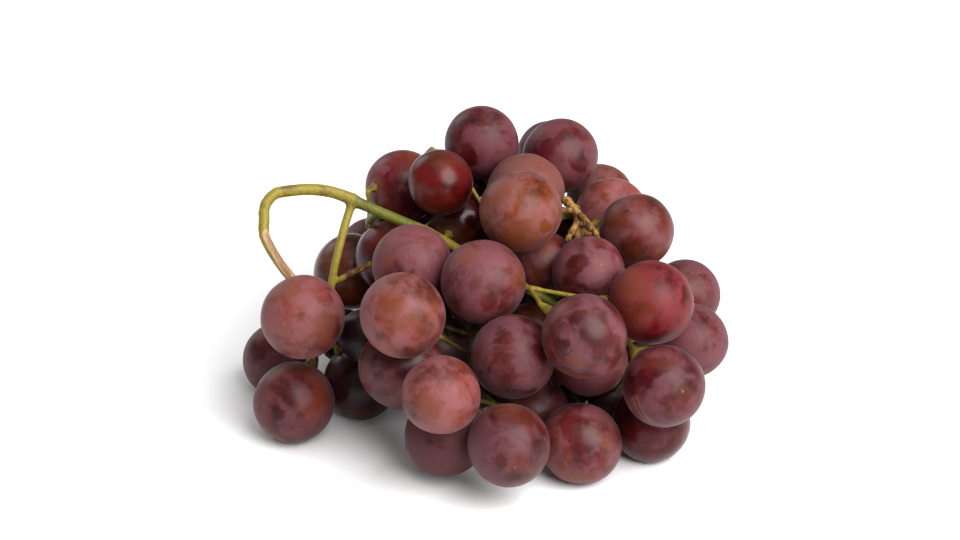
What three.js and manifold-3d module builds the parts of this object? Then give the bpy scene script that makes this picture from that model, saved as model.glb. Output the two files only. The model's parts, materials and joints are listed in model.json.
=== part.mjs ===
// A bunch of red table grapes, lying on a flat surface as it was picked.
// Each berry is a piece of its own. The stem is one piece that grew together: the hooked peduncle with its
// cut end, the axis, the laterals, the dried twigs and a pedicel for each berry.
// Millimetres, +Z up, the surface at Z = 0 and the origin at the bottom centre of the bunch.
import * as THREE from "three";
import { mergeVertices } from "three/addons/utils/BufferGeometryUtils.js";
import Module from "manifold-3d";

const wasm = await Module();
wasm.setup();

// Driving dimensions
const GAP = 0.3; // left between any two pieces
const SAG = 0.8; // how far a berry that lies on the surface is pressed flat
const LYING = 1.4; // a berry whose underside is lower than this lies on the surface
const STEM_CLEARANCE = 0.7; // the least left between the stem and the flanks of the berries
const STEM_ROOM = 1.1; // what a stem's course keeps where it can
const WIDTH_SHARE = 0.985; // a berry's width over its mean diameter
const LENGTH_SHARE = 1.02; // a berry's length from stem end to tip over its mean diameter
const SEAT_RADIUS = 2.1; // the flat at a berry's stem end, where its receptacle sits
const BERRY_SIDES = 12;
const BERRY_RINGS = 5;
const PEDUNCLE_RADIUS = 1.75;
const AXIS_RADIUS = 1.6;
const LATERAL_RADIUS = 1.3;
const SPUR_RADIUS = 1;
const PEDICEL_RADIUS = 0.75;
const RECEPTACLE_HEIGHT = 2.6;
const FLARE = 1.35; // a stalk's radius at its foot over its own
const NEAR_SHARE = 1.08; // a branch's radius past its foot over its own
const TAPER_SHARE = 0.2; // what it loses towards its end
const WITHERED_SHARE = 0.8; // a dried twig's radius where it is thin, over its own
const NECK_SHARE = 1.2; // a pedicel's radius under its receptacle over its own
const PEDUNCLE_SIDES = 10;
const BRANCH_SIDES = 7;
const TWIG_SIDES = 6;
const PEDICEL_SIDES = 5;
const BRANCH_STEP = 4.5; // between the points of a branch's course
const PEDICEL_STEP = 6;
const TWIG_STEP = 2;
const GROUND_WIDTH = 400;
const GROUND_DEPTH = 40;

// Settling the berries and threading the stems between them
const SETTLING_PASSES = 400;
const THREADING_PASSES = 60;
const SMOOTHING = 0.25;

const SKINS = {
  dusky: { color: 0x6d4048, roughness: 0.45 },
  rose: { color: 0x8f5750, roughness: 0.45 },
  plum: { color: 0x4f2a33, roughness: 0.38 },
  amber: { color: 0x8a5a42, roughness: 0.4 },
  crimson: { color: 0x6f1f26, roughness: 0.3 },
  dark: { color: 0x33202a, roughness: 0.42 },
};
const STEM = { color: 0x8a8b3c, roughness: 0.6 };

// The branches of the stem. A course runs outwards in millimetres, from where the branch leaves its parent,
// and each berry is [x, y, z, diameter, skin], with the way its stem end faces where that is seen.
const BRANCHES = [
  {
    name: "axis",
    radius: AXIS_RADIUS,
    course: [
      [-40, 31, 65], [-30, 29, 61], [-24, 27, 57], [-9, 24, 54],
      [5, 18, 46], [20, 8, 40], [38, 8, 36],
    ],
    berries: [
      [-21, 13, 51.5, 24.5, "dusky"],
      [-6.5, 41.5, 51, 22.5, "dark"],
      [16.5, 11, 27, 21.5, "dark"],
      [0, 32, 31.5, 22.5, "plum"],
      [28, 28, 12, 22.5, "plum"],
    ],
  },
  {
    name: "shoulder",
    parent: "axis",
    radius: LATERAL_RADIUS,
    course: [[-43, 30, 64], [-45, 23, 58], [-46, 17, 51], [-46, 13, 45], [-48, 14, 36], [-49, 13, 28]],
    berries: [
      [-54.5, -1, 40.5, 25.5, "rose"],
      [-58, -3.5, 12.5, 25, "dark"],
      [-64, 25, 12, 24, "dark"],
      [-37.5, 11, 11, 23.5, "dark"],
      [-35.5, 5, 30.5, 17, "dark"],
    ],
  },
  {
    name: "rear",
    parent: "axis",
    radius: LATERAL_RADIUS,
    course: [[-32, 29, 61], [-38, 38, 54], [-39, 50, 47], [-33, 62, 36], [-28, 64, 28]],
    berries: [
      [-42, 50, 30, 24.5, "amber"],
      [-28, 35, 43, 23, "plum"],
      [-25, 52.5, 59.5, 23.5, "plum", [-0.71, -0.64, 0.29]],
      [-26, 70.5, 44, 22.5, "plum"],
      [-24, 34, 20, 22.5, "dark"],
      [-16, 52, 32, 22.5, "dusky"],
      [-28, 57, 12, 22.5, "plum"],
      [-12, 73, 20, 22.5, "dusky"],
      [-36, 77, 24, 22.5, "plum"],
    ],
  },
  {
    name: "crown",
    parent: "axis",
    radius: LATERAL_RADIUS,
    course: [
      [5, 18, 46], [6, 29, 46], [7, 39, 49], [6, 49, 57],
      [9, 56, 55], [17, 68, 50], [26, 66, 36], [27, 62, 26],
    ],
    berries: [
      [-12.5, 33.5, 70, 20, "crimson", [-0.4, 0.64, 0.65]],
      [0.5, 59, 72, 23.5, "plum"],
      [26, 62, 66, 24, "plum"],
      [23, 83, 57.5, 21, "plum"],
      [14.5, 41, 63, 24.5, "amber"],
      [39.5, 71, 47, 21.5, "amber"],
      [8, 60, 36, 22.5, "dusky"],
      [16, 84, 32, 22.5, "plum"],
      [8, 64, 12, 22.5, "dusky"],
      [4, 88, 12, 22.5, "plum"],
      [28, 77, 12, 22.5, "dark"],
      [32, 52, 12, 22.5, "plum"],
      [8, 40, 12, 22.5, "dark"],
    ],
  },
  {
    name: "heart",
    parent: "axis",
    radius: SPUR_RADIUS,
    course: [[20, 9, 40], [28, 18, 40], [33, 23, 49], [31, 24, 58], [30, 26, 64]],
    berries: [
      [12.5, 16.5, 68, 25, "amber"],
      [33.5, 10, 50, 22.5, "dusky"],
      [19, 26, 45, 21.5, "dusky"],
      [49, 26.5, 56.5, 23, "rose"],
      [42.5, 49, 51, 23.5, "rose"],
      [24, 44, 32, 22.5, "dusky"],
      [40, 28, 35.5, 22.5, "plum"],
      [48, 48, 28, 22.5, "dusky"],
    ],
  },
  {
    name: "fork",
    parent: "axis",
    radius: SPUR_RADIUS,
    course: [[6, 15, 44], [7, 4, 39], [13, 2, 45], [15, 2, 49]],
    berries: [
      [1, 0, 52, 25.5, "dusky"],
      [52, -6, 48, 25.5, "crimson", [-0.98, 0.05, 0.02]],
      [31, -25.5, 47, 25, "dusky", [-0.77, 0.43, 0.4]],
    ],
  },
  {
    name: "breast",
    parent: "axis",
    radius: LATERAL_RADIUS,
    course: [[4, 18, 46], [1, 8, 38], [-6, -1, 31], [-7, -13, 31], [-3, -20, 24], [6, -24, 20]],
    berries: [
      [-23, -23.5, 53, 25, "rose"],
      [-24, -13, 29.5, 25.5, "dusky"],
      [-11.5, -40.5, 35.5, 23, "rose"],
      [-10.5, -28.5, 14.5, 24.5, "dark"],
      [8.5, -43.5, 20, 24.5, "dusky"],
      [10, -17, 35.5, 25, "dusky"],
      [30.5, -28, 12, 24.5, "dusky"],
      [16, -7, 12, 23, "dark"],
    ],
  },
  {
    name: "tail",
    parent: "axis",
    radius: LATERAL_RADIUS,
    course: [[36, 8, 36], [46, 7, 30], [46, 4, 22], [46, -8, 23]],
    berries: [
      [34, -3, 26.5, 22.5, "dark"],
      [65, 28, 33, 22.5, "dusky"],
      [65.5, 5, 29, 23, "dusky"],
      [55, -29, 32, 24.5, "plum"],
      [52.5, -15, 12, 24, "plum"],
      [52, 28, 12, 22.5, "dark"],
      [52, 64, 12, 22.5, "dusky"],
      [68, 44, 12, 22.5, "plum"],
    ],
  },
];

const PEDUNCLE = [
  [-40, 31, 65], [-44, 31, 67], [-50, 30, 69], [-56, 28, 70], [-60, 27, 70], [-64, 25, 70], [-67, 22, 67],
  [-67, 20, 64], [-67, 17, 60], [-65, 15, 56], [-62, 14, 51], [-58, 14, 45],
];

// Dried twigs that have lost their berries: the branch they grow from, their radius and their course
// outwards
const DRIED_TWIGS = [
  { branch: "shoulder", radius: 0.8, course: [[-46, 14, 45], [-41, 17, 47], [-37, 19, 46], [-34, 20, 48]] },
  { branch: "heart", radius: 1.1, course: [[30, 26, 63], [28, 28, 66], [26, 28, 67]] },
  { branch: "heart", radius: 0.7, course: [[31, 24, 60], [30, 19, 61], [27, 21, 58], [27, 20, 56]] },
  { branch: "heart", radius: 0.7, course: [[30, 25, 63], [34, 23, 63], [36, 20, 59]] },
  { branch: "heart", radius: 0.6, course: [[30, 25, 62], [33, 21, 64], [36, 19, 61], [37, 18, 57]] },
  { branch: "breast", radius: 0.8, course: [[-6, -1, 31], [-9, 0, 34], [-11, 1, 36]] },
];

const vectorOf = (place) => new THREE.Vector3(...place);

function berriesOf(branches) {
  return branches.flatMap((branch) =>
    branch.berries.map(([x, y, z, diameter, skin, facing], index) => ({
      name: `${branch.name}_berry_${index + 1}`,
      branch: branch.name,
      centre: new THREE.Vector3(x, y, z),
      radius: diameter / 2,
      skin,
      facing: facing && vectorOf(facing).normalize(),
    })),
  );
}

// Berries that press into each other move apart, and the lowest ones come to lie on the surface.
function settle(berries) {
  for (let pass = 0; pass < SETTLING_PASSES; pass++) {
    for (const [index, berry] of berries.entries()) {
      for (const other of berries.slice(index + 1)) {
        const apart = other.centre.clone().sub(berry.centre);
        const lacking = berry.radius + other.radius + GAP - apart.length();
        if (lacking > 0) {
          apart.setLength(lacking / 2);
          berry.centre.sub(apart);
          other.centre.add(apart);
        }
      }
      if (berry.centre.z - berry.radius < LYING) {
        berry.centre.z = berry.radius - SAG;
      }
    }
  }
}

// A stem's course, bent clear of every berry but the one it carries
function thread(course, radius, step, berries, carried) {
  const line = new THREE.CatmullRomCurve3(course, false, "centripetal");
  const steps = Math.max(3, Math.ceil(line.getLength() / step));
  const points = line.getSpacedPoints(steps);
  for (let pass = 0; pass < THREADING_PASSES; pass++) {
    for (let k = 1; k < steps; k++) {
      const middle = points[k - 1].clone().lerp(points[k + 1], 0.5);
      points[k].lerp(middle, SMOOTHING);
      for (const berry of berries) {
        const out = points[k].clone().sub(berry.centre);
        const reach = berry.radius + radius + STEM_ROOM;
        if (berry !== carried && out.length() < reach) {
          points[k].copy(berry.centre).add(out.setLength(reach));
        }
      }
    }
  }
  return points;
}

function nearest(points, place) {
  const gaps = points.map((point) => point.distanceTo(place));
  return points[gaps.indexOf(Math.min(...gaps))];
}

function solidOf(geometry) {
  geometry.deleteAttribute("normal");
  geometry.deleteAttribute("uv");
  const merged = mergeVertices(geometry, 1e-4);
  return new wasm.Manifold(
    new wasm.Mesh({
      numProp: 3,
      vertProperties: merged.attributes.position.array,
      triVerts: new Uint32Array(merged.index.array),
    }),
  );
}

function geometryOf(solid) {
  const mesh = solid.getMesh();
  const geometry = new THREE.BufferGeometry();
  geometry.setAttribute("position", new THREE.BufferAttribute(mesh.vertProperties, 3));
  geometry.setIndex(new THREE.BufferAttribute(mesh.triVerts, 1));
  geometry.computeVertexNormals();
  return geometry;
}

const joined = (solids) => solids.reduce((whole, solid) => whole.add(solid));

function turnedTo(direction) {
  return new THREE.Quaternion().setFromUnitVectors(new THREE.Vector3(0, 0, 1), direction);
}

// How far a berry's flat seat stands from its centre
function seatHeight(berry) {
  return berry.radius * LENGTH_SHARE * Math.sqrt(1 - (SEAT_RADIUS / (berry.radius * WIDTH_SHARE)) ** 2);
}

// A berry's solid: rings from the tip to the flat seat, grown by a margin that leaves the seat in its plane
// and a gap above it
function berrySolid(berry, margin, seatLift) {
  const width = berry.radius * WIDTH_SHARE;
  const length = berry.radius * LENGTH_SHARE;
  const seat = seatHeight(berry) + seatLift;
  const last = Math.acos(seat / (length + margin));
  const profile = [new THREE.Vector2(0, -length - margin)];
  for (let ring = 1; ring <= BERRY_RINGS; ring++) {
    const angle = Math.PI + ((last - Math.PI) * ring) / BERRY_RINGS;
    const out = (width + margin) * Math.sin(angle);
    const along = (length + margin) * Math.cos(angle);
    profile.push(new THREE.Vector2(out, along));
  }
  profile.push(new THREE.Vector2(0, seat));
  const geometry = new THREE.LatheGeometry(profile, BERRY_SIDES);
  geometry.rotateX(Math.PI / 2); // the lathe's axis is Y
  geometry.applyQuaternion(turnedTo(berry.facing));
  geometry.translate(...berry.centre);
  return solidOf(geometry);
}

// A stalk: a turned rod with one ring for each radius, evenly spaced, bent along its course
function stalk(course, radii, sides) {
  const line = new THREE.CatmullRomCurve3(course, false, "centripetal");
  const last = radii.length - 1;
  const frames = line.computeFrenetFrames(last);
  const rings = radii.map((radius, ring) => new THREE.Vector2(radius, ring));
  const profile = [new THREE.Vector2(0, 0), ...rings, new THREE.Vector2(0, last)];
  const geometry = new THREE.LatheGeometry(profile, sides);
  const places = geometry.getAttribute("position");
  for (let corner = 0; corner < places.count; corner++) {
    const ring = Math.round(places.getY(corner));
    const place = line.getPointAt(ring / last);
    place.addScaledVector(frames.normals[ring], places.getZ(corner));
    place.addScaledVector(frames.binormals[ring], places.getX(corner));
    places.setXYZ(corner, ...place);
  }
  return solidOf(geometry);
}

// Radii from a flared foot to a slimmer end
function taper(radius, rings) {
  const share = (ring) => (ring ? NEAR_SHARE - (TAPER_SHARE * ring) / rings : FLARE);
  return Array.from({ length: rings }, (_, ring) => radius * share(ring));
}

// Radii of a withered twig: thick and thin by turns
function withered(radius, rings) {
  const share = (ring) => (ring % 2 ? WITHERED_SHARE : FLARE);
  return Array.from({ length: rings }, (_, ring) => radius * share(ring));
}

// A pedicel from the branch to the berry, which ends in the swollen receptacle on the berry's seat.
// Where the berry's facing is free, it follows from the way in.
function pedicel(berry, branch, berries) {
  const start = nearest(branch, berry.centre);
  if (!berry.facing) {
    const way = thread([start, berry.centre.clone()], SEAT_RADIUS, BRANCH_STEP, berries, berry);
    const outside = way.filter((point) => point.distanceTo(berry.centre) > berry.radius);
    berry.facing = outside.at(-1).clone().sub(berry.centre).normalize();
  }
  const seat = seatHeight(berry) + GAP;
  const neck = berry.centre.clone().addScaledVector(berry.facing, seat + RECEPTACLE_HEIGHT);
  const end = berry.centre.clone().addScaledVector(berry.facing, seat);
  const course = thread([start.clone(), neck], PEDICEL_RADIUS, PEDICEL_STEP, berries, null);
  const slim = course.slice(2).map(() => PEDICEL_RADIUS);
  const radii = [PEDICEL_RADIUS * FLARE, ...slim, PEDICEL_RADIUS * NECK_SHARE, SEAT_RADIUS];
  return stalk([...course, end], radii, PEDICEL_SIDES);
}

function stemSolid(berries) {
  const routes = {};
  const peduncle = PEDUNCLE.map(vectorOf);
  const radii = taper(PEDUNCLE_RADIUS, 2 * peduncle.length);
  const pieces = [stalk(peduncle, radii, PEDUNCLE_SIDES)];
  for (const branch of BRANCHES) {
    const course = branch.course.map(vectorOf);
    if (branch.parent) {
      course[0].copy(nearest(routes[branch.parent], course[0]));
    }
    const route = thread(course, branch.radius, BRANCH_STEP, berries, null);
    routes[branch.name] = route;
    pieces.push(stalk(route, taper(branch.radius, route.length), BRANCH_SIDES));
  }
  for (const twig of DRIED_TWIGS) {
    const course = twig.course.map(vectorOf);
    course[0].copy(nearest(routes[twig.branch], course[0]));
    const points = thread(course, twig.radius, TWIG_STEP, berries, null);
    pieces.push(stalk(points, withered(twig.radius, points.length), TWIG_SIDES));
  }
  for (const berry of berries) {
    pieces.push(pedicel(berry, routes[berry.branch], berries));
  }
  const cleared = berries.map((berry) => berrySolid(berry, STEM_CLEARANCE, GAP / 2));
  return joined(pieces).subtract(joined(cleared));
}

// Everything below the surface, taken off the berries that lie on it
function belowSurface() {
  const geometry = new THREE.BoxGeometry(GROUND_WIDTH, GROUND_WIDTH, GROUND_DEPTH);
  geometry.translate(0, 0, -GROUND_DEPTH / 2);
  return solidOf(geometry);
}

function meshOf(name, solid, finish) {
  const material = new THREE.MeshStandardMaterial({ ...finish, metalness: 0, flatShading: true });
  const mesh = new THREE.Mesh(geometryOf(solid), material);
  mesh.name = name;
  return mesh;
}

function bunch() {
  const berries = berriesOf(BRANCHES);
  settle(berries);
  const stem = stemSolid(berries);
  const ground = belowSurface();
  const group = new THREE.Group();
  group.add(meshOf("stem", stem, STEM));
  for (const berry of berries) {
    group.add(meshOf(berry.name, berrySolid(berry, 0, 0).subtract(ground), SKINS[berry.skin]));
  }
  const middle = new THREE.Box3().setFromObject(group).getCenter(new THREE.Vector3());
  group.position.set(-middle.x, -middle.y, 0);
  return group;
}

const group = bunch();

export default group;
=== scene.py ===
"""A bunch of red table grapes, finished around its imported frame: the berries, the stem and a plain stage."""

import json
import math
import random

import bpy
import numpy as np
from bpy.props import FloatProperty, FloatVectorProperty, IntProperty, PointerProperty
from bpy.types import Operator, Panel, PropertyGroup
from mathutils import Matrix, Vector


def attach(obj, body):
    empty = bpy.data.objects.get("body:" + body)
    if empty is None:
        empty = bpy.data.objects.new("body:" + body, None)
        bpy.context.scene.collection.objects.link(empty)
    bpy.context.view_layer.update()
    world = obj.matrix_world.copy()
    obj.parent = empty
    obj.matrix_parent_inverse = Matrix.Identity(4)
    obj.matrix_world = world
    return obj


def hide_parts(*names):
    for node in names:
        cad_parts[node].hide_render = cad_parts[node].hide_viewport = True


bl_info = {
    "name": "Bunch of Grapes",
    "version": (1, 0, 0),
    "blender": (4, 5, 0),
    "location": "3D View > Sidebar > Grapes",
    "description": "Finishes a packed bunch of grapes: bloomed berries, a fibrous stem and a plain stage",
    "category": "Object",
}

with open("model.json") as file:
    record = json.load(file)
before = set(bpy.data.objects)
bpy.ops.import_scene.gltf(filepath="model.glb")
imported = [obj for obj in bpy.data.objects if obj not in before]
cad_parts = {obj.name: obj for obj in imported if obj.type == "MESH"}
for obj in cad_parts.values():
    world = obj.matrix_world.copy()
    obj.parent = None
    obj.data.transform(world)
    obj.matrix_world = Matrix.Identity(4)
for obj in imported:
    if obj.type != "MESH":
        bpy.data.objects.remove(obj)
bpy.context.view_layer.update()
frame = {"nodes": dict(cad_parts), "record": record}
MM = 0.001
SLOTS = {row["node"]: row["material_slot"] for row in frame["record"]["subparts"]}
BERRIES = sorted(node for node, slot in SLOTS.items() if slot != "stem")

# How a berry's solid is made, which gives its size and direction back from its facets
WIDTH_SHARE = 0.985
LENGTH_SHARE = 1.02
WIDEST_RING = 0.978
SEAT_RADIUS = 2.1 * MM

# A finished berry against its solid, so that neighbours touch
PLUMPNESS = 1.01

# How much of the waxy film's own colour each skin takes
HAZE = {"dusky": 0.3, "rose": 0.32, "plum": 0.22, "amber": 0.3, "crimson": 0.09, "dark": 0.14}

# Single berries' skin: how light it is against its slot's own colour, partly its own colour and partly painted
# shade on berries that lie in shade, and how much more film it has
LOOKS = {
    "shoulder_berry_2": (1.4, 0),
    "shoulder_berry_3": (1.45, 0),
    "shoulder_berry_4": (0.6, -0.1),
    "shoulder_berry_5": (0.2, -0.1),
    "axis_berry_1": (1.0, 0.08),
    "axis_berry_2": (0.85, -0.45),
    "axis_berry_3": (0.5, -0.1),
    "rear_berry_1": (0.75, -0.2),
    "rear_berry_2": (0.9, -0.2),
    "rear_berry_3": (1.45, -0.08),
    "rear_berry_4": (0.3, -0.2),
    "crown_berry_1": (0.75, -0.2),
    "crown_berry_5": (0.85, 0.15),
    "crown_berry_6": (0.8, 0.05),
    "heart_berry_3": (1.1, -0.1),
    "heart_berry_4": (0.7, -0.05),
    "heart_berry_5": (1.2, 0),
    "fork_berry_1": (1.0, 0.06),
    "fork_berry_3": (0.9, -0.05),
    "breast_berry_2": (0.75, -0.1),
    "breast_berry_4": (1.1, 0.12),
    "breast_berry_5": (0.7, 0),
    "breast_berry_6": (0.85, 0.02),
    "tail_berry_1": (2.8, 0.1),
    "tail_berry_2": (0.8, 0.06),
    "tail_berry_3": (0.85, 0.12),
    "tail_berry_5": (0.8, -0.25),
}

# Patches on single berries, each with its turn and rise in degrees and its radius in millimetres
MARKS = {
    "shoulder_berry_1": (("tanned", -135, 65, 4), ("tanned", -50, 10, 4), ("rubbed", -125, -35, 3.5)),
    "shoulder_berry_2": (("rubbed", -35, 30, 3.6), ("rubbed", -110, 10, 2.4), ("rubbed", 175, 40, 3)),
    "axis_berry_1": (("tanned", -130, 25, 1.8), ("rubbed", -60, -20, 3)),
    "axis_berry_2": (("rubbed", -90, 30, 14),),
    "rear_berry_3": (("rubbed", -85, 5, 4),),
    "crown_berry_1": (("rubbed", -90, 30, 8),),
    "crown_berry_2": (("rubbed", -110, 0, 4),),
    "crown_berry_3": (("rubbed", -65, 10, 4), ("rubbed", -120, 35, 3)),
    "heart_berry_1": (("tanned", -90, -15, 6), ("tanned", -135, 50, 3), ("rubbed", -55, 0, 2.6)),
    "heart_berry_2": (("rubbed", -115, 40, 4),),
    "heart_berry_3": (("tanned", -70, 50, 3),),
    "heart_berry_4": (("rubbed", -105, 0, 3.2), ("tanned", -140, 35, 4), ("rubbed", -60, -10, 3)),
    "fork_berry_1": (("tanned", -140, 60, 3), ("tanned", -30, 20, 3.4), ("rubbed", -80, 0, 3)),
    "fork_berry_2": (
        ("rubbed", -30, 20, 3.8),
        ("rubbed", -100, 20, 3.4),
        ("tanned", -145, 45, 5),
        ("rubbed", -60, -25, 2.6),
    ),
    "fork_berry_3": (
        ("rubbed", -125, 10, 3),
        ("rubbed", -40, 15, 2.6),
        ("tanned", -105, -10, 2),
        ("rubbed", -105, 55, 2.8),
    ),
    "breast_berry_1": (
        ("tanned", -105, 45, 3.5),
        ("tanned", -95, 15, 2.6),
        ("tanned", -35, 25, 2.6),
        ("rubbed", -80, -30, 3),
    ),
    "breast_berry_3": (("tanned", -110, 10, 4), ("rubbed", -5, 85, 1.2), ("rubbed", 5, 40, 1.6)),
    "breast_berry_5": (
        ("rubbed", -30, 65, 3.8),
        ("tanned", -90, 90, 3.4),
        ("rubbed", -40, 20, 2.8),
        ("rubbed", -100, 10, 2.6),
    ),
    "breast_berry_6": (("rubbed", -110, 55, 3.6), ("rubbed", -85, -35, 3), ("rubbed", -45, 25, 2.6)),
    "breast_berry_7": (("rubbed", -120, 50, 4), ("tanned", -50, 25, 1.8), ("rubbed", -120, -5, 2.4)),
    "tail_berry_2": (("rubbed", -40, 50, 1.2), ("rubbed", -115, 35, 3)),
    "tail_berry_3": (("rubbed", -55, 15, 1.9),),
    "tail_berry_4": (
        ("rubbed", -110, 55, 4.2),
        ("rubbed", -130, 35, 3.4),
        ("rubbed", -65, 10, 2),
        ("rubbed", -45, 15, 1.3),
    ),
    "tail_berry_5": (("rubbed", -135, 45, 3),),
}

# Healed splits: both ends as turn and rise in degrees, and half the width in millimetres
SPLITS = {
    "breast_berry_2": ((-158, 12), (-164, 37), 0.35),
    "tail_berry_4": ((-138, 6), (-116, -36), 0.8),
}

# The ends of a berry of radius 1, with its stem end up: the heights between which each is dented or raised,
# how wide the scar at the tip is, and how far each of them goes
TIP_FLAT = -0.9955
TIP_DENT = 0.012
SCAR_TOP = -0.98
SCAR_WIDTH = 0.0224
SCAR_RISE = 0.022
STEM_END = (0.955, 0.985)
STEM_END_DENT = 0.012

# Size of the swells on a berry's skin
SWELL = 16 * MM

# Facets whose normals agree this well face the same way, and a facet smaller than this has no normal
SAME_WAY = 0.99999
SLIVER = 1e-12

# What a place gets that has no spot near it, and what a berry without a split gets
FAR_OUTSIDE = -9.0
NO_SPLIT = 99

# Small berries deep inside, each beside a packed one: the neighbour, the way from its centre and the radius,
# in millimetres. Their skin is darkened against the dark berries' by a painted shade, as they lie deep in the
# bunch.
INNER = {
    "inner_berry_1": ("shoulder_berry_5", (23.3, 2.5, -6.9), 11.2),
    "inner_berry_2": ("tail_berry_1", (5.6, 2.4, -15.5), 6.0),
    "inner_berry_3": ("crown_berry_6", (-10.5, 2.7, -11.9), 5.4),
    "inner_berry_4": ("breast_berry_8", (-16.0, 7.7, 0.6), 6.4),
    "inner_berry_5": ("shoulder_berry_3", (20.3, 8.7, 3.7), 8.8),
    "inner_berry_6": ("crown_berry_2", (-2.5, 2.8, -16.9), 5.6),
    "inner_berry_7": ("breast_berry_8", (13.1, 9.4, 0.7), 4.8),
    "inner_berry_8": ("rear_berry_6", (4.2, -2.4, -14.7), 4.3),
}
INNER_PAINTED_SHADE = 0.5

# Spots on the stem, in millimetres: centre and radius. The shaded spots, and the largest of the green spots,
# darken the stalks deep in the bunch as painted shade.
SPOTS = {
    "dried": (((29, 5, 59), 11), ((-40, -3, 46), 5), ((30, -3, 41), 5)),
    "green": (((-31, 8, 61), 11), ((19, -12, 39), 4), ((-5, -15, 25), 28)),
    "brown": (((-43, 9, 64), 2.2), ((-40, 13, 65), 3), ((-62, 7, 71), 3.2)),
    "shaded": (((-9, -34, 31), 13), ((1, -42, 22), 12), ((-7, -22, 32), 9)),
}

# Radius of the brown collar at each berry's seat, in millimetres
COLLAR_RADIUS = 2.6

# Sizes of the bumps of the bark and of the knobs on dried twigs, and how much of their height lies inside
BARK_SIZE = 4.5 * MM
KNOB_SIZE = 2.2 * MM
BUMP_FLOOR = 0.15

# Corners of the stem's solid this close become one. An inner berry's stalk starts at a share of its radius.
WELD = 0.01 * MM
STALK_START = 0.95
STALK_SIDES = 12

# Painted shade on stalks deep in the bunch, and the colour of the bark's pores
PORES_AND_PAINTED_SHADE = (0.03, 0.018, 0.006)

# The long scar on the hook of the stem, in millimetres: both ends and its half width
STEM_SCAR = ((-67.5, -6.5, 61), (-60, -10, 47), 1.9)

# The stage, in metres: what the camera and the lights aim at, the floor's side, and each light's way from
# the bunch, its size and its power in watts
AIM = Vector((-0.0018, -0.0216, 0.0562))
FLOOR_SIZE = 8
LIGHTS = {
    "key": ((0.972, -0.972, 1.224), 1.9, 73),
    "overhead": ((0.18, -0.36, 1.8), 2.0, 10),
    "rim": ((-1.05, 1.2, 0.75), 1.0, 6),
}


def tint(name, description, value):
    return FloatVectorProperty(name=name, description=description, subtype="COLOR", default=value)


def length(name, description, value):
    return FloatProperty(name=name, description=description, subtype="DISTANCE", default=value)


class BerrySettings(PropertyGroup):
    """Shape and skin of the berries."""

    segments: IntProperty(name="Segments", description="Faces round a berry", default=64, min=16, max=96)
    rings: IntProperty(name="Rings", description="Faces from stem end to tip", default=44, min=12)
    unevenness: length("Unevenness", "How far a berry's skin strays from a true oval", 0.75 * MM)
    bloom_color: tint("Bloom", "Waxy film", (0.27, 0.15, 0.185))
    tan_color: tint("Tan", "Browned skin", (0.15, 0.036, 0.012))
    scar_color: tint("Scars", "Dots and scars", (0.21, 0.095, 0.045))
    dusky: tint("Dusky", "Skin of the brownish purple berries", (0.070, 0.0065, 0.0068))
    rose: tint("Rose", "Skin of the rosy berries", (0.110, 0.018, 0.012))
    plum: tint("Plum", "Skin of the plum berries", (0.052, 0.0025, 0.0038))
    amber: tint("Amber", "Skin of the amber berries", (0.10, 0.018, 0.003))
    crimson: tint("Crimson", "Skin of the deep red berries", (0.088, 0.0025, 0.003))
    dark: tint("Dark", "Skin of the darkest berries", (0.032, 0.002, 0.0025))


class StemSettings(PropertyGroup):
    """Surface of the stem."""

    fineness: length("Fineness", "Size of the stem's facets", 0.42 * MM)
    bumpiness: length("Bumpiness", "Height of the bumps of the bark", 0.25 * MM)
    knobs: length("Knobs", "Height of the knobs on dried twigs", 0.6 * MM)
    inner_stalk: length("Inner stalks", "Radius of the inner berries' stalks", 0.8 * MM)
    olive: tint("Olive", "Weathered stalk", (0.25, 0.195, 0.019))
    # Also the colour of the painted shade on the stalks deep in the bunch
    green: tint("Green", "Fresh stalk", (0.12, 0.125, 0.010))
    golden: tint("Golden", "Dried twigs", (0.33, 0.17, 0.04))
    brown: tint("Brown", "Collars and streaks", (0.09, 0.035, 0.010))
    scar: tint("Scar", "Edge of the long scar", (0.48, 0.29, 0.15))


class StageSettings(PropertyGroup):
    """Floor, lights and camera."""

    elevation: FloatProperty(
        name="Elevation",
        description="Camera height above the horizon",
        subtype="ANGLE",
        default=math.radians(27),
    )
    distance: length("Distance", "Camera to bunch", 0.8)
    lens: FloatProperty(name="Lens", description="Focal length in millimetres", default=98.4)
    floor_color: tint("Floor", "Colour of the floor", (0.93, 0.93, 0.93))
    daylight: FloatProperty(name="Daylight", description="Strength of the light all round", default=0.28)


class GrapeSettings(PropertyGroup):
    """All settings of the bunch."""

    berry: PointerProperty(type=BerrySettings)
    stem: PointerProperty(type=StemSettings)
    stage: PointerProperty(type=StageSettings)


class Shade:
    """The output of a node, for shader maths written as Python expressions."""

    def __init__(self, tree, socket):
        self.tree = tree
        self.socket = socket

    def math(self, operation, *values):
        return self.tree.node("ShaderNodeMath", {"operation": operation}, dict(enumerate(values)))

    def __add__(self, other):
        return self.math("ADD", self, other)

    def __sub__(self, other):
        return self.math("SUBTRACT", self, other)

    def __mul__(self, other):
        return self.math("MULTIPLY", self, other)

    def __rsub__(self, other):
        return self.math("SUBTRACT", other, self)

    def __abs__(self):
        return self.math("ABSOLUTE", self)

    __radd__ = __add__

    def moved(self, offset):
        return self.tree.node("ShaderNodeVectorMath", {"operation": "ADD"}, {0: self, 1: offset})

    def scaled(self, factor):
        return self.tree.node("ShaderNodeVectorMath", {"operation": "MULTIPLY"}, {0: self, 1: factor})

    def step(self, low, high):
        """0 below low, 1 above high and smooth between."""
        settings = {"interpolation_type": "SMOOTHSTEP", "clamp": True}
        inputs = {"Value": self, "From Min": low, "From Max": high}
        return self.tree.node("ShaderNodeMapRange", settings, inputs)


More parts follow.
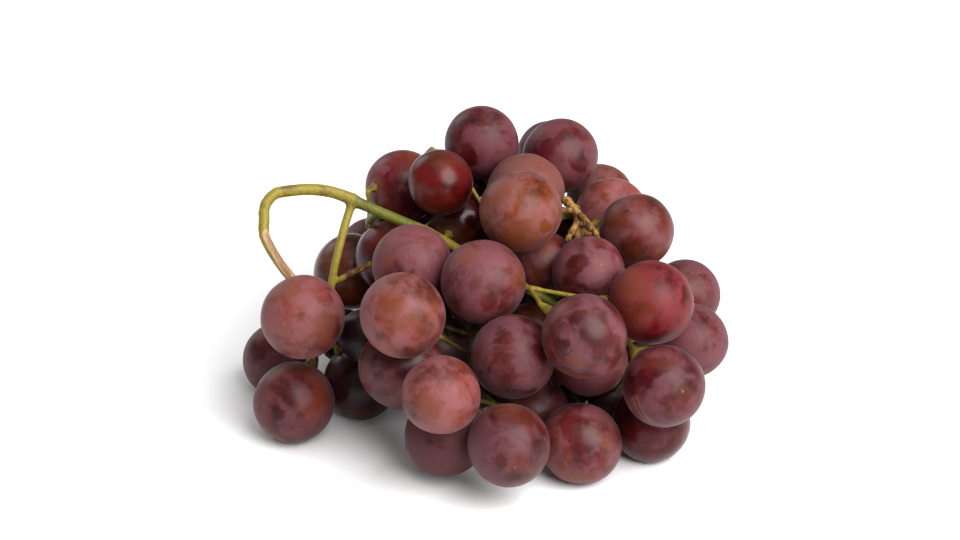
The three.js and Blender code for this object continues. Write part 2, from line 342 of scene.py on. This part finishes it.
class Finish:
    """A material and its nodes."""

    def __init__(self, name, **constants):
        self.material = bpy.data.materials.new(name)
        self.material.use_nodes = True
        self.nodes = self.material.node_tree.nodes
        self.links = self.material.node_tree.links
        self.shader = self.nodes["Principled BSDF"]
        for socket, value in constants.items():
            self.put(self.shader.inputs[socket.replace("_", " ")], value)

    def put(self, socket, value):
        if isinstance(value, Shade):
            self.links.new(value.socket, socket)
        elif hasattr(value, "__len__") and socket.type == "RGBA":
            socket.default_value = (*value[:3], 1)
        else:
            socket.default_value = value

    def node(self, kind, settings=None, inputs=None, output=0):
        made = self.nodes.new(kind)
        for name, value in (settings or {}).items():
            setattr(made, name, value)
        for socket, value in (inputs or {}).items():
            self.put(made.inputs[socket], value)
        return Shade(self, made.outputs[output])

    def place(self):
        """Place on the object in millimetres."""
        return self.node("ShaderNodeTexCoord", output="Object").scaled((1000, 1000, 1000))

    def noise(self, place, size, detail=2, roughness=0.5, distortion=0):
        inputs = {"Vector": place, "Scale": 1 / size, "Detail": detail, "Roughness": roughness}
        inputs["Distortion"] = distortion
        return self.node("ShaderNodeTexNoise", None, inputs)

    def specks(self, place, spacing, radius, share):
        """Round dots in some of the cells of a pattern: their radius and spacing in millimetres."""
        cells = self.node("ShaderNodeTexVoronoi", None, {"Vector": place, "Scale": 1 / spacing}, "Distance")
        colors = Shade(self, cells.socket.node.outputs["Color"])
        chance = self.node("ShaderNodeSeparateColor", None, {0: colors})
        inside = 1 - cells.step(0.6 * radius / spacing, radius / spacing)
        return inside * chance.step(1 - share, 1.02 - share)

    def attribute(self, name):
        return self.node("ShaderNodeAttribute", {"attribute_name": name}, None, "Fac")

    def mix(self, factor, first, second, blend="MIX"):
        """One colour turning into another, or multiplied by it."""
        settings = {"data_type": "RGBA", "blend_type": blend, "clamp_factor": True}
        return self.node("ShaderNodeMix", settings, {"Factor": factor, 6: first, 7: second}, 2)

    def bump(self, height, distance):
        inputs = {"Height": height, "Distance": distance, "Strength": 1.0}
        return self.node("ShaderNodeBump", None, inputs)

    def set(self, **values):
        for socket, value in values.items():
            self.put(self.shader.inputs[socket.replace("_", " ")], value)


def settings():
    return bpy.context.scene.grapes


def only(*objects):
    """Selects these objects and nothing else."""
    bpy.ops.object.select_all(action="DESELECT")
    for piece in objects:
        piece.select_set(True)
        bpy.context.view_layer.objects.active = piece


def edit(piece, chosen):
    """Opens edit mode on a piece with only the vertices selected that chosen accepts by their place."""
    only(piece)
    bpy.ops.object.mode_set(mode="EDIT")
    bpy.ops.mesh.select_mode(type="VERT")
    bpy.ops.mesh.select_all(action="DESELECT")
    bpy.ops.object.mode_set(mode="OBJECT")
    for vertex in piece.data.vertices:
        vertex.select = chosen(vertex.co)
    bpy.ops.object.mode_set(mode="EDIT")


def done_editing():
    bpy.ops.object.mode_set(mode="OBJECT")


def apply_modifier(piece, kind, **values):
    only(piece)
    modifier = piece.modifiers.new(kind.title(), kind)
    for name, value in values.items():
        setattr(modifier, name, value)
    bpy.ops.object.modifier_apply(modifier=modifier.name)


def number_on(piece, name, value):
    """Writes a number on every vertex of a piece, for its material to read."""
    layer = piece.data.attributes.new(name, "FLOAT", "POINT")
    numbers = np.broadcast_to(value, len(piece.data.vertices)).astype(np.float32)
    layer.data.foreach_set("value", numbers)


def facets(node):
    """Corner triples and unit normals of a CAD node's triangles."""
    mesh = frame["nodes"][node].data
    corners = np.empty(len(mesh.vertices) * 3)
    mesh.vertices.foreach_get("co", corners)
    loops = np.empty(len(mesh.loops), dtype=int)
    mesh.loops.foreach_get("vertex_index", loops)
    triangles = corners.reshape(-1, 3)[loops].reshape(-1, 3, 3)
    normals = np.cross(triangles[:, 1] - triangles[:, 0], triangles[:, 2] - triangles[:, 0])
    sizes = np.linalg.norm(normals, axis=1)
    kept = sizes > SLIVER
    return triangles[kept], normals[kept] / sizes[kept, None]


def berry_place(node):
    """Centre, radius and stem direction of a berry, from its seat: the most facets that face one way."""
    triangles, normals = facets(node)
    alike = (normals @ normals.T > SAME_WAY) & (normals[:, 2] > -SAME_WAY)
    seat = alike[alike.sum(axis=1).argmax()]
    facing = normals[seat].mean(axis=0)
    facing /= np.linalg.norm(facing)
    seat_centre = triangles[seat].reshape(-1, 3).mean(axis=0)
    out = triangles.reshape(-1, 3) - seat_centre
    across = np.linalg.norm(out - np.outer(out @ facing, facing), axis=1).max()
    radius = across / (WIDEST_RING * WIDTH_SHARE)
    height = radius * LENGTH_SHARE * math.sqrt(1 - (SEAT_RADIUS / (radius * WIDTH_SHARE)) ** 2)
    return Vector(seat_centre - facing * height), radius, Vector(facing)


def berry_pattern():
    """The berry that all others are copied from: radius 1, stem end up, with a scar at the tip."""
    choices = settings().berry
    bpy.ops.object.select_all(action="DESELECT")
    bpy.ops.mesh.primitive_uv_sphere_add(segments=choices.segments, ring_count=choices.rings, radius=1)
    pattern = bpy.context.object
    pattern.name = "berry_pattern"
    edit(pattern, lambda place: place.z < TIP_FLAT)
    bpy.ops.transform.translate(value=(0, 0, TIP_DENT))
    done_editing()
    edit(pattern, lambda place: place.z < SCAR_TOP and math.hypot(place.x, place.y) < SCAR_WIDTH)
    bpy.ops.transform.translate(value=(0, 0, -SCAR_RISE))
    done_editing()
    edit(pattern, lambda place: STEM_END[0] < place.z < STEM_END[1])
    bpy.ops.transform.translate(value=(0, 0, -STEM_END_DENT))
    done_editing()
    bpy.ops.object.shade_smooth()
    return pattern


def berry(pattern, name, centre, radius, facing, unevenness):
    """A fine berry with its stem end facing one way, flat where it rests on the floor."""
    piece = pattern.copy()
    piece.data = pattern.data.copy()
    piece.name = name
    bpy.context.collection.objects.link(piece)
    turn = facing.to_track_quat("Z", "Y").to_matrix().to_4x4()
    plump = radius * PLUMPNESS
    scale = Matrix.Diagonal((plump, plump, plump * LENGTH_SHARE, 1))
    piece.matrix_world = Matrix.Translation(centre) @ turn @ scale
    only(piece)
    bpy.ops.object.transform_apply(location=True, rotation=True, scale=True)
    strength = settings().berry.unevenness
    apply_modifier(piece, "DISPLACE", texture=unevenness, texture_coords="GLOBAL", strength=strength)
    edit(piece, lambda place: place.z < 0)
    bpy.ops.transform.resize(value=(1, 1, 0), center_override=(0, 0, 0))
    done_editing()
    return piece


def inner_place(name):
    """Centre, radius and stem direction of an inner berry, and the nearest place on the stem."""
    neighbour, way, radius = INNER[name]
    centre = berry_place(neighbour)[0] + Vector(way) * MM
    points = facets("stem")[0].reshape(-1, 3)
    nearest = Vector(points[np.linalg.norm(points - np.array(centre), axis=1).argmin()])
    return centre, radius * MM, (nearest - centre).normalized(), nearest


def towards(turn, rise):
    """The direction at an angle round from +X and an angle up from level, in degrees."""
    turn, rise = math.radians(turn), math.radians(rise)
    return Vector((math.cos(rise) * math.cos(turn), math.cos(rise) * math.sin(turn), math.sin(rise)))


def depth_in(places, spots):
    """How deep each place lies inside the nearest of some spots, in millimetres: below 0 outside them."""
    depths = np.full(len(places), FAR_OUTSIDE)
    for centre, size in spots:
        depths = np.maximum(depths, size - np.linalg.norm(places - np.array(centre), axis=1) / MM)
    return depths


def marked(piece, node, centre, radius):
    """Writes how deep each point lies inside a berry's patches and where it lies along its split."""
    places = np.array([vertex.co for vertex in piece.data.vertices])
    for kind in ("rubbed", "tanned"):
        marks = [mark for mark in MARKS.get(node, ()) if mark[0] == kind]
        spots = [(centre + towards(turn, rise) * radius, size) for _, turn, rise, size in marks]
        number_on(piece, kind, depth_in(places, spots))
    along, across = NO_SPLIT, NO_SPLIT
    if node in SPLITS:
        start, end, half_width = SPLITS[node]
        start, end = towards(*start), towards(*end)
        middle = (start + end).normalized()
        run = (end - start).normalized()
        out = (places - np.array(centre + middle * radius)) / MM
        along = np.where(out @ np.array(middle) < -radius / MM, NO_SPLIT, out @ np.array(run))
        along = along / ((end - start).length * radius / MM / 2)
        across = out @ np.array(middle.cross(run)) / half_width
    number_on(piece, "split_along", along)
    number_on(piece, "split_across", across)


def skin(slot):
    """Grape skin: mottled colour, a waxy film with rubbed spots, fine dots and a scar at the tip."""
    choices = settings().berry
    kind = slot.removeprefix("skin_")
    color = Vector(getattr(choices, kind))
    made = Finish(
        slot,
        IOR=1.36,
        Specular_IOR_Level=0.4,
        Subsurface_Weight=0.15,
        Subsurface_Scale=0.004,
        Subsurface_Radius=(1.0, 0.25, 0.15),
        Sheen_Weight=0.07,
        Sheen_Roughness=0.3,
        Sheen_Tint=(0.85, 0.8, 0.9),
    )
    place = made.place()
    wax = made.attribute("wax")
    latitude = made.node("ShaderNodeSeparateXYZ", None, {0: made.node("ShaderNodeUVMap")}, "Y")
    mottle = made.noise(place, 11, 3, 0.5, 0.4)
    blotch = made.noise(place.moved((7, 43, 19)), 6, 4, 0.6, 0.6)
    cover = made.noise(place.moved((31, 17, 5)), 9, 2, 0.5, 0.6)
    grain = made.noise(place, 1.1, 4, 0.65)
    freckles = made.noise(place.moved((3, 5, 7)), 2.6, 4, 0.7)
    ragged = (grain - 0.5) * 1.6 + (blotch - 0.5) * 9
    patches = (blotch + (grain - 0.5) * 0.1).step(0.6, 0.7) * 0.7
    rubbed = (made.attribute("rubbed") + ragged - 0.4).step(-0.6, 0.8)
    wiped = 1 - (1 - rubbed) * (1 - patches)
    uneven = mottle * 0.65 + freckles * 0.35 + (grain - 0.5) * 0.15
    under = made.mix(uneven.step(0.38, 0.62), color * 0.5, color * 1.5)
    warmth = made.noise(place.moved((13, 2, 29)), 14, 2, 0.5)
    under = made.mix((warmth + latitude * 0.12).step(0.5, 0.72) * 0.4, under, choices.tan_color)
    film = (cover + wax + (freckles - 0.5) * 0.25 + (grain - 0.5) * 0.1).step(0.32, 0.62) * (1 - wiped)
    haze = made.mix(HAZE[kind], color * 1.6, choices.bloom_color)
    tone = made.mix(film * (0.35 + freckles * 0.5 + grain * 0.3), under, haze)
    tone = made.mix((made.attribute("tanned") + ragged).step(-1.8, 1.5) * 0.6, tone, choices.tan_color)
    tone = made.mix((1 - latitude.step(0.02, 0.12)) * 0.3, tone, choices.tan_color)
    dots = made.specks(place, 2.2, 0.15, 0.3)
    tone = made.mix(dots * 0.55, tone, choices.scar_color)
    pits = made.specks(place.moved((5, 9, 2)), 3.1, 0.24, 0.2)
    tone = made.mix(pits * 0.5, tone, color * 0.25)
    tone = made.mix((1 - latitude.step(0.008, 0.013)) * 0.8, tone, choices.scar_color)
    tone = made.mix(latitude.step(0.85, 0.99) * 0.5, tone, Vector(choices.scar_color) * 0.6)
    across = abs(made.attribute("split_across")) + (grain - 0.5) * 0.8
    within = 1 - abs(made.attribute("split_along")).step(0.75, 1.1)
    tone = made.mix(within * (1 - across.step(0.8, 2.2)) * 0.5, tone, choices.scar_color)
    tone = made.mix(within * (1 - across.step(0.2, 1.0)), tone, Vector(choices.tan_color) * 0.5)
    # Each berry's colour is multiplied by its lightness: partly its own colour, partly painted shade where it
    # lies in shade
    made.set(
        Base_Color=made.mix(1.0, tone, made.attribute("depth"), "MULTIPLY"),
        Roughness=0.32 + film * 0.2 + grain * 0.1 + wax * 0.4,
        Normal=made.bump(film * 0.4 + grain * 0.6, 0.00007),
    )
    return made.material


class GRAPES_OT_berries(Operator):
    """Finishes every berry of the bunch"""

    bl_idname = "grapes.berries"
    bl_label = "Berries"

    def execute(self, context):
        unevenness = bpy.data.textures.new("berry unevenness", "CLOUDS")
        unevenness.noise_scale = SWELL
        unevenness.noise_depth = 1
        pattern = berry_pattern()
        skins = {slot: skin(slot) for slot in sorted(set(SLOTS[node] for node in BERRIES))}
        chance = random.Random(7)
        for node in BERRIES:
            centre, radius, facing = berry_place(node)
            piece = berry(pattern, node + "_skin", centre, radius, facing, unevenness)
            depth, wax = LOOKS.get(node, (1, chance.uniform(-0.05, 0.05)))
            # A berry's lightness is partly painted shade where it lies in shade
            number_on(piece, "depth", depth)
            number_on(piece, "wax", wax)
            marked(piece, node, centre, radius)
            piece.data.materials.append(skins[SLOTS[node]])
            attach(piece, "root")
            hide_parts(node)
        for name in INNER:
            centre, radius, facing, _ = inner_place(name)
            piece = berry(pattern, name, centre, radius, facing, unevenness)
            # Inner berries are darkened further as painted shade
            number_on(piece, "depth", INNER_PAINTED_SHADE)
            number_on(piece, "wax", chance.uniform(-0.05, 0.05))
            marked(piece, name, centre, radius)
            piece.data.materials.append(skins["skin_dark"])
            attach(piece, "root")
        bpy.data.objects.remove(pattern)
        return {"FINISHED"}


def stalk_finish():
    """Stalk: olive to green, golden where it has dried, with brown collars, streaks, one long scar and painted
    shade on the stalks deep in the bunch.
    """
    choices = settings().stem
    made = Finish("stem", Specular_IOR_Level=0.3, Subsurface_Weight=0.08, Subsurface_Scale=0.002)
    place = made.place()
    wide = made.noise(place, 5, 3, 0.55)
    fine = made.noise(place.scaled((1, 1, 0.35)), 0.8, 4, 0.65)
    streaks = (wide + (fine - 0.5) * 0.5).step(0.52, 0.72)
    dried = (made.attribute("dried") + (fine - 0.5) * 3).step(-0.8, 1)
    # The green spots' mask also holds a large spot deep in the bunch: painted shade that darkens the stalks
    # there
    olive = made.mix((made.attribute("green") + (wide - 0.5) * 8).step(-2, 2), choices.olive, choices.green)
    tone = made.mix(streaks * 0.45, olive, choices.brown)
    husk = made.mix((fine + (wide - 0.5)).step(0.4, 0.62), choices.brown, choices.golden)
    tone = made.mix(dried, tone, husk)
    tone = made.mix((made.attribute("collar") + (fine - 0.5) * 2).step(-0.5, 0.5) * 0.6, tone, choices.brown)
    tone = made.mix((made.attribute("brown") + (fine - 0.5) * 3).step(-0.8, 1.2) * 0.7, tone, choices.brown)
    scar = made.attribute("scar") + (fine - 0.5) * 0.9
    tone = made.mix(scar.step(-0.1, 0.15), tone, choices.scar)
    tone = made.mix(scar.step(0.45, 1.0) * 0.55, tone, choices.brown)
    tone = made.mix(fine.step(0.35, 0.75) * 0.25, tone, PORES_AND_PAINTED_SHADE)
    # The shaded spots darken the stalks deep in the bunch: painted shade
    made.set(
        Base_Color=made.mix(made.attribute("shaded").step(-1, 3) * 0.9, tone, PORES_AND_PAINTED_SHADE),
        Roughness=0.45 + dried * 0.25,
        Normal=made.bump(fine * 0.7 + wide * 0.3, 0.0003),
    )
    return made.material


def bumpy(piece, name, size, height, group=""):
    """Raises bumps on a piece, or on the vertices of one of its groups."""
    bumps = bpy.data.textures.new(name, "CLOUDS")
    bumps.noise_scale = size
    bumps.noise_depth = 3
    ways = {"vertex_group": group, "mid_level": BUMP_FLOOR, "strength": height}
    apply_modifier(piece, "DISPLACE", texture=bumps, texture_coords="GLOBAL", **ways)


class GRAPES_OT_stem(Operator):
    """Finishes the stem and adds the stalks of the inner berries"""

    bl_idname = "grapes.stem"
    bl_label = "Stem"

    def execute(self, context):
        choices = settings().stem
        original = frame["nodes"]["stem"]
        piece = original.copy()
        piece.data = original.data.copy()
        piece.name = "stalk"
        bpy.context.collection.objects.link(piece)
        edit(piece, lambda place: True)
        bpy.ops.mesh.remove_doubles(threshold=WELD)
        done_editing()
        stalks = []
        for name in INNER:
            centre, radius, facing, nearest = inner_place(name)
            start = centre + facing * radius * STALK_START
            bpy.ops.object.select_all(action="DESELECT")
            bpy.ops.mesh.primitive_cylinder_add(
                vertices=STALK_SIDES,
                radius=choices.inner_stalk,
                depth=(nearest - start).length,
                location=(start + nearest) / 2,
                rotation=facing.to_track_quat("Z", "Y").to_euler(),
            )
            stalks.append(context.object)
        only(*stalks, piece)
        bpy.ops.object.join()
        only(piece)
        bpy.ops.object.transform_apply(location=True, rotation=True, scale=True)
        apply_modifier(piece, "REMESH", mode="VOXEL", voxel_size=choices.fineness)
        apply_modifier(piece, "SMOOTH", factor=0.5, iterations=3)
        places = np.array([vertex.co for vertex in piece.data.vertices])
        for kind, spots in SPOTS.items():
            depths = depth_in(places, [(Vector(centre) * MM, size) for centre, size in spots])
            number_on(piece, kind, depths)
            group = piece.vertex_groups.new(name=kind + "_part")
            group.add(np.flatnonzero(depths > 0).tolist(), 1, "REPLACE")
        berries = [berry_place(node) for node in BERRIES]
        seats = [(centre + facing * radius, COLLAR_RADIUS) for centre, radius, facing in berries]
        number_on(piece, "collar", depth_in(places, seats))
        start, end, half_width = (np.array(part) for part in STEM_SCAR)
        run = end - start
        share = np.clip((places / MM - start) @ run / (run @ run), 0, 1)[:, None]
        number_on(piece, "scar", half_width - np.linalg.norm(places / MM - start - share * run, axis=1))
        bumpy(piece, "bark", BARK_SIZE, choices.bumpiness)
        bumpy(piece, "knobs", KNOB_SIZE, choices.knobs, "dried_part")
        only(piece)
        bpy.ops.object.shade_smooth()
        piece.data.materials.clear()
        piece.data.materials.append(stalk_finish())
        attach(piece, "root")
        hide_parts("stem")
        return {"FINISHED"}


def area_light(name, way, size, power):
    """A round soft light that shines on the bunch from one way."""
    bpy.ops.object.light_add(type="AREA", location=AIM + Vector(way))
    lamp = bpy.context.object
    lamp.name = name
    lamp.data.shape = "DISK"
    lamp.data.size = size
    lamp.data.energy = power
    lamp.rotation_euler = Vector(way).to_track_quat("Z", "Y").to_euler()


class GRAPES_OT_stage(Operator):
    """Adds the floor, the lights and the camera"""

    bl_idname = "grapes.stage"
    bl_label = "Stage"

    def execute(self, context):
        choices = settings().stage
        bpy.ops.object.select_all(action="DESELECT")
        bpy.ops.mesh.primitive_plane_add(size=FLOOR_SIZE, location=(0, 0, 0))
        floor = context.object
        floor.name = "floor"
        paper = Finish("floor", Base_Color=choices.floor_color, Roughness=0.9, Specular_IOR_Level=0.1)
        floor.data.materials.append(paper.material)
        for name, light in LIGHTS.items():
            area_light(name, *light)
        world = bpy.data.worlds.new("studio")
        context.scene.world = world
        world.use_nodes = True
        daylight = world.node_tree.nodes["Background"]
        daylight.inputs["Color"].default_value = (1, 1, 1, 1)
        daylight.inputs["Strength"].default_value = choices.daylight
        view = Vector((0, -math.cos(choices.elevation), math.sin(choices.elevation)))
        bpy.ops.object.camera_add(location=AIM + view * choices.distance)
        camera = context.object
        camera.rotation_euler = view.to_track_quat("Z", "Y").to_euler()
        camera.data.lens = choices.lens
        camera.data.clip_start = 0.01
        context.scene.camera = camera
        context.scene.view_settings.view_transform = "Standard"
        return {"FINISHED"}


class GRAPES_PT_panel(Panel):
    """The bunch's settings and steps"""

    bl_idname = "GRAPES_PT_panel"
    bl_label = "Bunch of Grapes"
    bl_space_type = "VIEW_3D"
    bl_region_type = "UI"
    bl_category = "Grapes"

    def draw(self, context):
        for group in (context.scene.grapes.berry, context.scene.grapes.stem, context.scene.grapes.stage):
            box = self.layout.box()
            for name in group.bl_rna.properties.keys():
                if name not in ("rna_type", "name"):
                    box.prop(group, name)
        for step in STEPS:
            self.layout.operator(step.bl_idname)


STEPS = (GRAPES_OT_stage, GRAPES_OT_berries, GRAPES_OT_stem)
CLASSES = (BerrySettings, StemSettings, StageSettings, GrapeSettings, *STEPS, GRAPES_PT_panel)


def register():
    for made in CLASSES:
        bpy.utils.register_class(made)
    bpy.types.Scene.grapes = PointerProperty(type=GrapeSettings)


def unregister():
    del bpy.types.Scene.grapes
    for made in reversed(CLASSES):
        bpy.utils.unregister_class(made)


def main():
    register()
    bpy.ops.grapes.stage()
    bpy.ops.grapes.berries()
    bpy.ops.grapes.stem()


if __name__ == "__main__":
    main()
